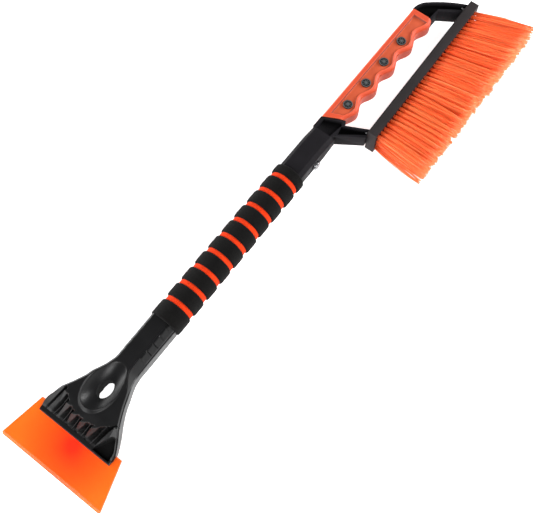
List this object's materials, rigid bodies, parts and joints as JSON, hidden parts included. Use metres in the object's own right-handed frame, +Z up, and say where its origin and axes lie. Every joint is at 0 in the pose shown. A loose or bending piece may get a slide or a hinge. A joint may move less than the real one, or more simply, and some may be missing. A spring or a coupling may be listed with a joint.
{
  "type": "snow brush with ice scraper",
  "caption": "Long-handled snow brush with a D-shaped soft grip at one end and a clamped ice scraper blade with thumb dish at the other, foam-gripped shaft and snap-button joint.",
  "frame": {"origin": "middle of the tool's length and width, on the surface that it lies on", "axes": "+X along the tool from the scraper to the brush, bristles towards -Y, +Z up from the surface"},
  "size_m": [0.6935, 0.1747, 0.0462],
  "materials": {
    "head_plastic": "satin moulded black plastic with a fine grain",
    "blade_plastic": "translucent glossy orange polycarbonate",
    "steel": "zinc-plated steel",
    "tube_metal": "drawn aluminium tube",
    "button_steel": "polished steel",
    "frame_plastic": "satin moulded black plastic",
    "block_plastic": "matte black plastic",
    "grip_rubber": "matte orange soft-touch rubber",
    "stud_plastic": "dark plastic stud with a plain raised star pattern",
    "foam_black": "black closed-cell foam",
    "foam_orange": "orange closed-cell foam",
    "bristle": "fine orange synthetic bristles"
  },
  "bodies": {
    "handle": {"scraper_head": "head_plastic", "scraper_blade": "blade_plastic", "blade_screws": "steel", "shaft_tube": "tube_metal", "neck_pin": "steel", "foam_band_01": "foam_black", "foam_band_02": "foam_black", "foam_band_03": "foam_black", "foam_band_04": "foam_black", "foam_band_05": "foam_black", "foam_band_06": "foam_black", "foam_band_07": "foam_black", "foam_band_08": "foam_black", "foam_band_09": "foam_black", "foam_band_10": "foam_black", "foam_ring_01": "foam_orange", "foam_ring_02": "foam_orange", "foam_ring_03": "foam_orange", "foam_ring_04": "foam_orange", "foam_ring_05": "foam_orange", "foam_ring_06": "foam_orange", "foam_ring_07": "foam_orange", "foam_ring_08": "foam_orange", "foam_ring_09": "foam_orange", "button_spring": "steel"},
    "button": {"snap_button": "button_steel"},
    "brush_head": {"brush_frame": "frame_plastic", "soft_grip": "grip_rubber", "grip_stud_1": "stud_plastic", "grip_stud_2": "stud_plastic", "grip_stud_3": "stud_plastic", "grip_stud_4": "stud_plastic", "brush_block": "block_plastic", "block_screws": "steel", "tuft_row_1": "bristle", "tuft_row_2": "bristle", "tuft_row_3": "bristle", "tuft_row_4": "bristle", "rest_tufts": "bristle", "tuft_anchors": "steel"}
  },
  "joints": [
    {"name": "button_press", "type": "slide", "parent": "handle", "child": "button", "axis": [0, 1, 0], "range_m": [0, 0.0074], "stiffness_N_per_m": 900, "springref_m": -0.004, "deforming": ["button_spring"]},
    {"name": "brush_head_release", "type": "slide", "parent": "handle", "child": "brush_head", "axis": [1, 0, 0], "range_m": [0, 0.198]}
  ]
}
